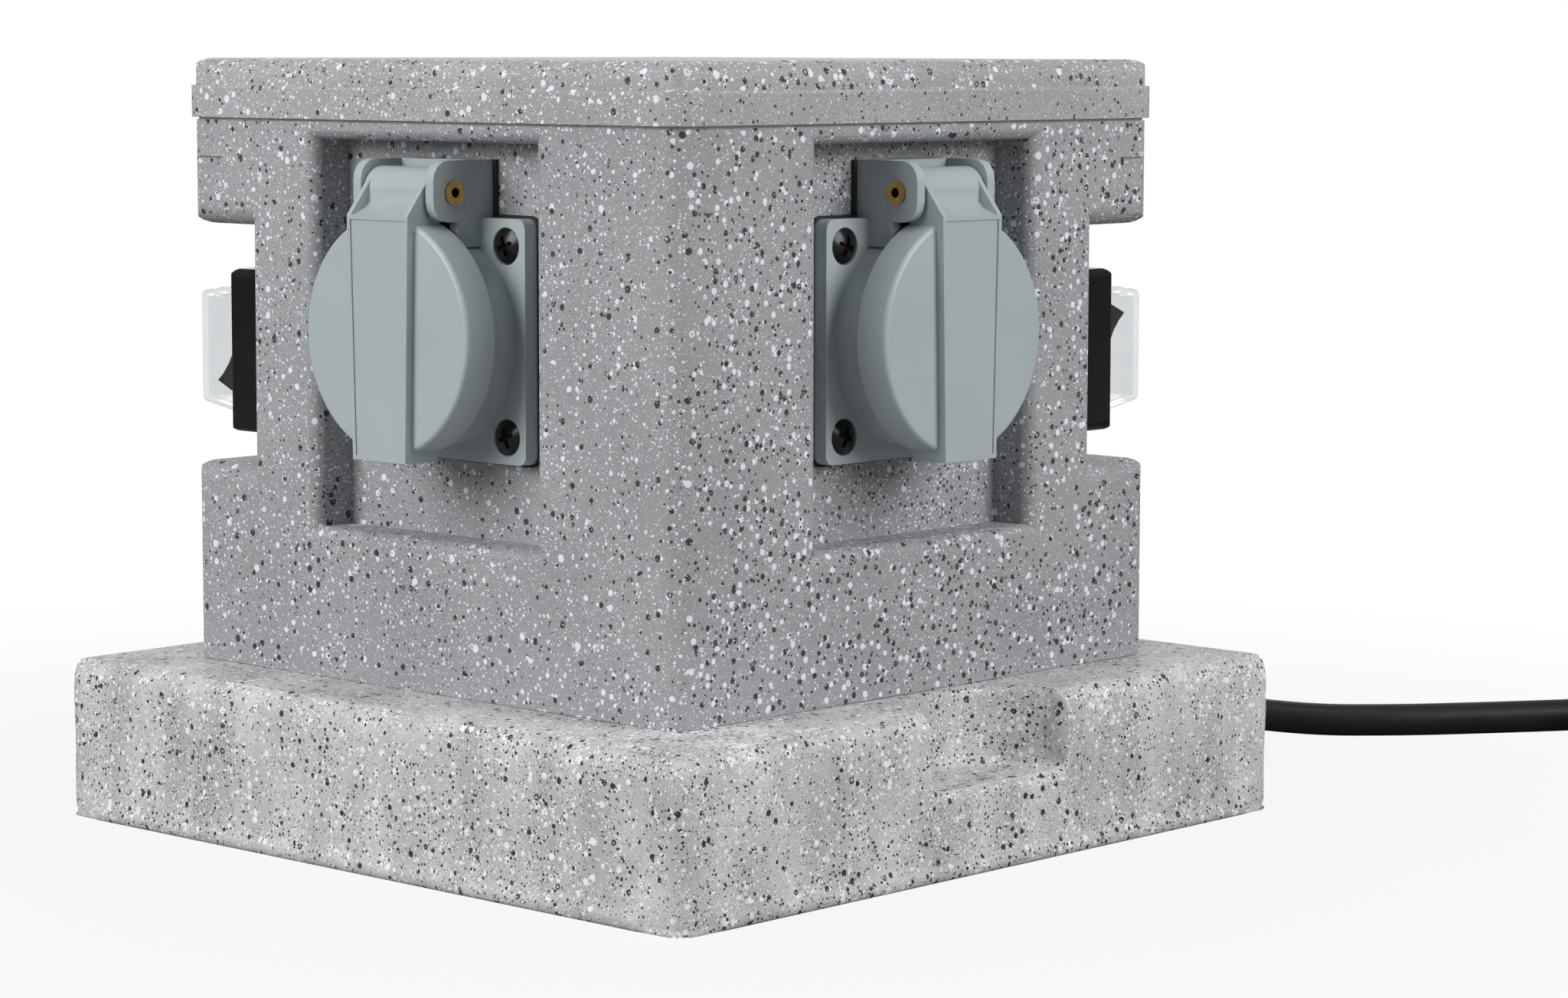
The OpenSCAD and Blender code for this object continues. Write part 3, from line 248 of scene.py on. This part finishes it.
def spattered_stone(name, ground, shade, white, black, sprays, patch_scale):
    """A spray is its colour, drops per millimetre, share of cells, and least and most radius in cells.
    The first three are thick enough to stand out; each is thinner in some places than in others."""
    material, tree, skin = new_material(name)
    paints = {"white": (*white, 1), "black": (*black, 1)}
    thick_sprays = 3
    thinnest = 0.6
    next_spray = (17.3, 31.1, 7.7)
    place = millimetres(tree)
    # The drops' outlines are pulled out of round by up to 0.15 mm
    wobble = noise_pattern(tree, place, scale=1.1, detail=1.0)["Color"]
    centred = vector_maths(tree, "SUBTRACT", wobble, (0.5, 0.5, 0.5))[0]
    pulled = vector_maths(tree, "MULTIPLY_ADD", centred, (0.3, 0.3, 0.3), place)[0]
    patches = noise_pattern(tree, mapped(tree, place, "Scale", patch_scale), scale=1.0, detail=4.0)["Fac"]
    gathered = noise_pattern(tree, place, scale=0.045, detail=2.0)["Fac"]
    colour = mix_colours(tree, remap(tree, patches, 0.35, 0.65), (*shade, 1), (*ground, 1))
    height = 0.0
    for i, (paint, per_mm, share, least, most) in enumerate(sprays):
        shifted = mapped(tree, pulled, "Location", [i * step for step in next_spray])
        thinned = remap(tree, gathered, 0.3, 0.65, thinnest * share, share)
        spray = {"Place": shifted, "Per Millimetre": per_mm, "Share": thinned, "Least": least, "Most": most}
        drops = shader_node(tree, "Group", spray, node_tree=paint_drops).outputs["Mask"]
        colour = mix_colours(tree, drops, colour, paints[paint])
        if i < thick_sprays:
            height = maths(tree, "ADD", drops, height)
    drop_height = 0.35
    grain = noise_pattern(tree, place, scale=2.4, detail=4.0)["Fac"]
    uneven = maths(tree, "MULTIPLY_ADD", height, drop_height, grain)
    tree.links.new(colour, skin["Base Color"])
    tree.links.new(raised(tree, uneven, strength=0.35, depth=0.00012), skin["Normal"])
    skin["Roughness"].default_value = 0.6
    return material


def dress(material, *names):
    """Gives CAD nodes their material."""
    for name in names:
        nodes[name].data.materials.clear()
        nodes[name].data.materials.append(material)


base_sprays = [
    ("white", 0.50, 1.0, 0.12, 0.48), ("white", 0.95, 1.0, 0.14, 0.46), ("black", 0.48, 1.0, 0.13, 0.39),
    ("white", 1.7, 1.0, 0.15, 0.44), ("black", 1.05, 1.0, 0.13, 0.41), ("black", 2.0, 0.9, 0.14, 0.40),
]
# The base's pale and dark patches are stretched upright: partly the stone's uneven tone, partly painted
# light and shade of the hewn ridges and hollows.
base_stone = spattered_stone(
    "base_stone", ground=(0.63, 0.635, 0.645), shade=(0.435, 0.44, 0.445), white=(0.87, 0.90, 0.92),
    black=(0.018, 0.018, 0.021), sprays=base_sprays, patch_scale=(0.075, 0.075, 0.03))
hewn_base.data.materials.append(base_stone)
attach(hewn_base, "post")
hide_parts("base")


# Base plate, its screws and the tie screws: a moulded plate of the column's
# darker, calmer stone closes the base, and long zinc-plated screws hold base,
# column and cover together.

body_sprays = [
    ("white", 0.44, 0.95, 0.11, 0.42), ("white", 0.85, 0.95, 0.12, 0.40), ("black", 0.38, 0.95, 0.12, 0.345),
    ("white", 1.5, 0.95, 0.13, 0.39), ("black", 0.80, 0.95, 0.12, 0.355), ("white", 2.5, 0.8, 0.14, 0.38),
]


def body_spattered(name, ground, shade):
    return spattered_stone(name, ground, shade, white=(0.78, 0.82, 0.86), black=(0.022, 0.023, 0.025),
                           sprays=body_sprays, patch_scale=(0.03, 0.03, 0.03))


def surface_grain_group():
    """Uneven tone, gloss and height of a moulded, cast or drawn surface."""
    group, given, result = new_group(
        "surface_grain",
        [("Place", "Vector", None), ("Cloud Per Millimetre", "Float", 0.08),
         ("Grain Per Millimetre", "Float", 3.0), ("Light", "Color", (0.5, 0.5, 0.5, 1)),
         ("Dark", "Color", (0.4, 0.4, 0.4, 1)), ("Glossiest", "Float", 0.3), ("Roughest", "Float", 0.5)],
        [("Colour", "Color"), ("Roughness", "Float"), ("Height", "Float")])
    cloud = noise_pattern(group, given["Place"], given["Cloud Per Millimetre"], detail=3.0)["Fac"]
    grain = noise_pattern(group, given["Place"], given["Grain Per Millimetre"], detail=4.0)["Fac"]
    tone = mix_colours(group, remap(group, cloud, 0.3, 0.7), given["Dark"], given["Light"])
    gloss = remap(group, grain, 0.3, 0.7, given["Glossiest"], given["Roughest"])
    group.links.new(tone, result["Colour"])
    group.links.new(gloss, result["Roughness"])
    group.links.new(grain, result["Height"])
    return group


surface_grain = surface_grain_group()


def grained(name, light, dark, rough, cloud=0.08, grain=3.0, depth=0.00002, metallic=0.0, specular=0.5):
    """A plain material with a surface's own unevenness: its lightest and darkest tone, its least and
    most roughness, its clouds and grains per millimetre, and the grain's depth in metres."""
    material, tree, skin = new_material(name)
    surface = {
        "Place": millimetres(tree), "Cloud Per Millimetre": cloud, "Grain Per Millimetre": grain,
        "Light": (*light, 1), "Dark": (*dark, 1), "Glossiest": rough[0], "Roughest": rough[1]}
    effect = shader_node(tree, "Group", surface, node_tree=surface_grain).outputs
    tree.links.new(effect["Colour"], skin["Base Color"])
    tree.links.new(effect["Roughness"], skin["Roughness"])
    tree.links.new(raised(tree, effect["Height"], strength=0.5, depth=depth), skin["Normal"])
    skin["Metallic"].default_value = metallic
    skin["Specular IOR Level"].default_value = specular
    return material


body_stone = body_spattered("body_stone", ground=(0.335, 0.338, 0.352), shade=(0.300, 0.303, 0.317))
zinc = grained("zinc", (0.46, 0.46, 0.48), (0.36, 0.36, 0.38), rough=(0.22, 0.40),
               cloud=0.6, grain=6.0, metallic=1.0)
dress(body_stone, "base_plate")
dress(zinc, "base_plate_screws", "tie_screws")


# Column: a square plastic moulding with a pocket for each socket and a notch
# in each outer corner, spattered like the base plate.

def soften(width, *names):
    """Rounds the sharp edges of CAD nodes as their moulds leave them."""
    for name in names:
        piece = nodes[name]
        join = piece.modifiers.new("join", "WELD")
        join.merge_threshold = 1e-6
        clean = piece.modifiers.new("clean", "DECIMATE")
        clean.decimate_type = "DISSOLVE"
        clean.angle_limit = math.radians(0.5)
        edge = piece.modifiers.new("edge", "BEVEL")
        edge.width = width
        edge.segments = 2
        edge.limit_method = "ANGLE"
        edge.angle_limit = math.radians(35)
        shading = piece.modifiers.new("shading", "WEIGHTED_NORMAL")
        shading.weight = 50


dress(body_stone, "column")
soften(0.0006, "column")


# Top cover and its seal: a low lid with a band that stands out all round,
# from the same spattered plastic made slightly paler, on a thin grey
# foam seal.

cover_stone = body_spattered("cover_stone", ground=(0.366, 0.369, 0.380), shade=(0.328, 0.331, 0.340))
dress(cover_stone, "top_cover")
soften(0.0005, "top_cover")
grey_foam = grained("grey_foam", (0.66, 0.66, 0.63), (0.58, 0.58, 0.56), rough=(0.7, 0.9),
                    grain=2.0, depth=0.00005)
dress(grey_foam, "top_seal")


# Sockets: light blue-grey housings with a round cup, on black foam gaskets,
# each held by four black screws. Insert, brass contacts and the springy
# earthing clip are seen when the lid is open; a hollow brass pin is the hinge.

sides = ("left", "right")
small_edge = 0.0004
socket_grey = grained("socket_grey", (0.415, 0.470, 0.490), (0.385, 0.440, 0.458), rough=(0.34, 0.44),
                      cloud=0.05, grain=1.2, depth=0.00001)
black_screw = grained("black_screw", (0.012, 0.011, 0.011), (0.008, 0.007, 0.008), rough=(0.16, 0.30),
                      grain=2.5, specular=0.3)
black_foam = grained("black_foam", (0.022, 0.022, 0.023), (0.014, 0.014, 0.015), rough=(0.7, 0.9),
                     grain=2.0, depth=0.00005)
brass = grained("brass", (0.55, 0.36, 0.12), (0.40, 0.24, 0.07), rough=(0.18, 0.36),
                cloud=0.5, grain=5.0, metallic=1.0)
for side in sides:
    dress(socket_grey, side + "_socket", side + "_insert")
    dress(black_foam, side + "_gasket")
    dress(black_screw, side + "_socket_screws")
    dress(brass, side + "_contacts", side + "_earth_clip", side + "_hinge_pin")
    soften(small_edge, side + "_socket")


# Lids: round, of the sockets' plastic, with an upright bar that bends to the
# hinge barrel between two ribs. A wound steel spring closes each on its seal.

spring_steel = grained("spring_steel", (0.42, 0.42, 0.44), (0.30, 0.30, 0.32), rough=(0.25, 0.40),
                       cloud=0.5, grain=5.0, metallic=1.0)
for side in sides:
    dress(socket_grey, side + "_lid")
    dress(black_foam, side + "_lid_seal")
    dress(spring_steel, side + "_lid_spring")
    soften(small_edge, side + "_lid")


# Switches: glossy black boxes with a rocker under a hood of clear soft
# plastic, greyed by painted shade where it is seen edge-on, and brass tabs
# behind for the wires.

switch_black = grained("switch_black", (0.013, 0.012, 0.015), (0.010, 0.009, 0.011), rough=(0.14, 0.24),
                       grain=0.8, depth=0.00001, specular=0.15)
clear_hood = grained("clear_hood", (0.93, 0.945, 0.95), (0.88, 0.895, 0.905), rough=(0.02, 0.08),
                     cloud=0.25, grain=0.5, depth=0.00001)
hood_tree = clear_hood.node_tree
hood_skin = hood_tree.nodes["Principled BSDF"].inputs
hood_skin["Transmission Weight"].default_value = 1.0
hood_skin["IOR"].default_value = 1.15
# Painted shade: the hood's colour is mixed towards grey the more edge-on it is seen.
edge_shade_mask = shader_node(hood_tree, "LayerWeight", {"Blend": 0.35}).outputs["Facing"]
clear_tone = hood_skin["Base Color"].links[0].from_socket
painted_edge_shade = (0.45, 0.47, 0.48, 1)
hood_tree.links.new(mix_colours(hood_tree, edge_shade_mask, clear_tone, painted_edge_shade), hood_skin["Base Color"])
for side in sides:
    dress(switch_black, side + "_switch", side + "_rocker")
    dress(clear_hood, side + "_hood")
    dress(brass, side + "_switch_tabs")
    soften(small_edge, side + "_switch", side + "_rocker")


# Terminal block and wires: a white block with zinc-plated screws in the base,
# and brown, blue and green-and-yellow wires to both switches and sockets.

block_white = grained("block_white", (0.76, 0.75, 0.72), (0.70, 0.69, 0.66), rough=(0.35, 0.50))
dress(block_white, "terminal_block")
dress(zinc, "terminal_screws", "cord_clamp_screws")
for name, light, dark in (("live_wires", (0.10, 0.034, 0.013), (0.075, 0.024, 0.009)),
                          ("neutral_wires", (0.020, 0.085, 0.34), (0.015, 0.065, 0.27)),
                          ("earth_wires", (0.22, 0.38, 0.02), (0.17, 0.31, 0.015))):
    dress(grained(name + "_skin", light, dark, rough=(0.30, 0.45)), name)


# Lead: rubber-sheathed, 7.8 mm thick. It leaves the strain relief on the
# rear side, bends down to the ground and round to the front, and the rest of
# it is wound into a coil in two layers beside the post, with the plug on top.

# In millimetres, as in the part's source
cord_radius = 3.9
exit_point = Vector((120.5, 0, 12))
route = [exit_point] + [Vector(p) for p in [
    (129, 0, 12), (137, -1.6, 11.4), (145, -4.7, 10.3), (153.5, -10.5, 8.8), (161.5, -19, 6.8),
    (168, -29, 5.2), (174, -38.5, 4.3), (180, -47, 3.9), (187, -55, 3.9), (194.5, -62, 3.9),
    (203.5, -69, 3.9), (213, -76, 3.9), (226, -85, 3.9), (240.7, -93.5, 3.9), (255.3, -102, 3.9),
    (270, -110.5, 3.9)]]
coil_radius = 56.5
coil_pitch = 8.4
coil_turns = 3
bend_radius = 33.0
end_straight = 8.0
heading = math.radians(-30)
plug_radius = 18.6
rim_rear = 39.0
plug_tilt = math.radians(15)
plug_clearance = 0.3
step_angle = 10


def level_way(angle, length=1.0):
    return Vector((math.cos(angle), math.sin(angle), 0)) * length


def straight_up(height):
    return Vector((0, 0, height))


def unit(value):
    return max(0.0, min(1.0, value))


turn_in = route[-1] + level_way(heading, end_straight)
coil_middle = turn_in - level_way(heading + math.pi / 2, coil_radius)
coil_start = heading + math.pi / 2
reverse_angle = 360 * coil_turns
spiral_angle = 2 * reverse_angle


def coil_layer(turned):
    """The coil climbs a layer over the half turn about its middle, and another at its end."""
    early = 30
    last_climb = 105
    return (unit(0.5 + (turned - reverse_angle) / 180)
            + unit((turned - spiral_angle + early) / last_climb))


def coil_point(turned):
    """The coil runs inwards on the ground and outwards on top of that."""
    inwards = coil_pitch * (reverse_angle - abs(reverse_angle - turned)) / 360
    radius = coil_radius if turned > spiral_angle else coil_radius - inwards
    way = level_way(coil_start - math.radians(turned), radius)
    return coil_middle + way + straight_up(coil_pitch * coil_layer(turned))


bend_start = coil_start - math.radians(spiral_angle + 90)
bend_middle = coil_middle + level_way(bend_start, coil_radius - bend_radius) + straight_up(2 * coil_pitch)
bend_length = bend_radius * math.pi / 2
turn_tops = route[-1].z + coil_pitch + cord_radius
rim_height = plug_radius * math.cos(plug_tilt) - rim_rear * math.sin(plug_tilt)
tail_height = turn_tops + plug_clearance + rim_height
lift = tail_height - end_straight * math.sin(plug_tilt) - bend_middle.z
lift_length = 2 * lift / math.tan(plug_tilt)


def bend_point(turned):
    """The lead lifts from the coil to the plug's tail at the end of the bend."""
    along = bend_length * turned / 90
    rise = 0 if along < bend_length - lift_length else lift * ((along - bend_length) / lift_length + 1) ** 2
    return bend_middle + level_way(bend_start - math.radians(turned), bend_radius) + straight_up(rise)


plug_heading = bend_start - math.pi
plug_way = level_way(plug_heading, math.cos(plug_tilt)) + straight_up(math.sin(plug_tilt))
plug_tail = bend_point(90) + end_straight * plug_way


def smooth_through(points, steps):
    """A Catmull-Rom curve through the points."""
    line = []
    for i in range(len(points) - 1):
        a, b = points[max(i - 1, 0)], points[i]
        c, d = points[i + 1], points[min(i + 2, len(points) - 1)]
        for s in range(steps):
            t = s / steps
            line.append(0.5 * (2 * b + (c - a) * t + (2 * a - 5 * b + 4 * c - d) * t * t
                               + (3 * b - a - 3 * c + d) * t * t * t))
    return line + [points[-1]]


lead_line = smooth_through(route, 4)
lead_line += [coil_point(turned) for turned in range(0, spiral_angle + 90, step_angle)]
lead_line += [bend_point(turned) for turned in range(0, 91, step_angle)]
lead_line += [plug_tail]
lead_curve = bpy.data.curves.new("lead", "CURVE")
lead_curve.dimensions = "3D"
lead_curve.bevel_depth = cord_radius / 1000
lead_curve.bevel_resolution = 5
lead_curve.use_fill_caps = True
spline = lead_curve.splines.new("POLY")
spline.points.add(len(lead_line) - 1)
for point, place in zip(spline.points, lead_line):
    point.co = (*(place / 1000), 1)
lead = add_object("lead", lead_curve)

lead_rubber = grained("lead_rubber", (0.022, 0.021, 0.024), (0.016, 0.015, 0.018), rough=(0.38, 0.55),
                      cloud=0.12, grain=2.2, depth=0.00004, specular=0.25)
lead.data.materials.append(lead_rubber)
dress(lead_rubber, "cord_inner", "cord_relief", "plug_body")
dress(switch_black, "cord_clamp")
dress(brass, "plug_pins", "plug_earth")
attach(lead, "post")
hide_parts("cord_run", "cord_coil")


# Photographer's table: a paper floor that keeps the post's soft shadow, a
# white surround, four soft lamps, and the camera as the photograph has it.

ground = bmesh.new()
bmesh.ops.create_grid(ground, x_segments=1, y_segments=1, size=6.0)
floor_mesh = bpy.data.meshes.new("floor")
ground.to_mesh(floor_mesh)
ground.free()
floor = add_object("floor", floor_mesh)
paper, paper_tree, sheet = new_material("paper")
sheet["Base Color"].default_value = (0.30, 0.30, 0.30, 1)
sheet["Roughness"].default_value = 0.9
sheet["Specular IOR Level"].default_value = 0.1
# Seen by the camera, the paper is nine tenths white under the post and plain white 0.42 m from its middle
floor_place = shader_node(paper_tree, "TexCoord", {}).outputs["Object"]
from_post = vector_maths(paper_tree, "LENGTH", floor_place)["Value"]
whiteness = remap(paper_tree, from_post, 0.13, 0.42, 0.90, 1.0, interpolation_type="SMOOTHSTEP")
ray = shader_node(paper_tree, "LightPath", {}).outputs
looked_at = maths(paper_tree, "MAXIMUM", ray["Is Camera Ray"], ray["Is Transmission Ray"])
shown = maths(paper_tree, "MULTIPLY", whiteness, looked_at)
plain_white = shader_node(paper_tree, "Emission", {"Strength": 1.0})
lit_paper = paper_tree.nodes["Principled BSDF"]
blended = shader_node(paper_tree, "MixShader",
                      {0: shown, 1: lit_paper.outputs[0], 2: plain_white.outputs[0]})
paper_tree.links.new(blended.outputs[0], paper_tree.nodes["Material Output"].inputs["Surface"])
floor.data.materials.append(paper)

world = bpy.data.worlds.new("surround")
bpy.context.scene.world = world
world.use_nodes = True
sky = world.node_tree
surround = sky.nodes["Background"]
surround.inputs["Color"].default_value = (1, 1, 1, 1)
surround.inputs["Strength"].default_value = 0.025
seen = shader_node(sky, "Background", {"Color": (1, 1, 1, 1), "Strength": 1.0})
ray = shader_node(sky, "LightPath", {}).outputs
mirrored = maths(sky, "MULTIPLY", ray["Is Glossy Ray"], 0.3)
seen_or_mirrored = maths(sky, "MAXIMUM", ray["Is Camera Ray"], mirrored)
white_share = maths(sky, "MAXIMUM", seen_or_mirrored, ray["Is Transmission Ray"])
mixed = shader_node(sky, "MixShader", {0: white_share, 1: surround.outputs[0], 2: seen.outputs[0]})
sky.links.new(mixed.outputs[0], sky.nodes["World Output"].inputs["Surface"])

aim = Vector((0, 0, 0.08))
for name, place, watts in (("left_lamp", (-1.35, 0.35, 0.75), 20.2),
                           ("right_lamp", (0.35, -1.35, 0.75), 17.7),
                           ("top_lamp", (-0.3, -0.3, 1.6), 5.6),
                           ("back_lamp", (1.1, 1.1, 0.7), 5)):
    lamp_data = bpy.data.lights.new(name, "AREA")
    lamp_data.shape = "DISK"
    lamp_data.size = 1.0
    lamp_data.energy = watts
    lamp = add_object(name, lamp_data)
    lamp.location = place
    lamp.rotation_euler = (aim - Vector(place)).to_track_quat("-Z", "Y").to_euler()

# Solved from 30 corners and edges of the photograph
camera_data = bpy.data.cameras.new("camera")
camera_data.sensor_width = 36
camera_data.lens = 94.66
camera_data.clip_start = 0.05
camera_data.clip_end = 50
camera = add_object("camera", camera_data)
camera_place = (-0.63507, -0.62293, 0.16679)
yaw, pitch, roll = math.radians(42.8957), math.radians(6.3047), math.radians(0.1052)
sight = Vector((math.cos(yaw) * math.cos(pitch), math.sin(yaw) * math.cos(pitch), -math.sin(pitch)))
level = Vector((math.sin(yaw), -math.cos(yaw), 0))
upright = level.cross(sight)
right = level * math.cos(roll) + upright * math.sin(roll)
upward = upright * math.cos(roll) - level * math.sin(roll)
turned = Matrix((right, upward, -sight)).transposed().to_4x4()
camera.matrix_world = Matrix.Translation(camera_place) @ turned
bpy.context.scene.camera = camera
bpy.context.scene.view_settings.view_transform = "Standard"
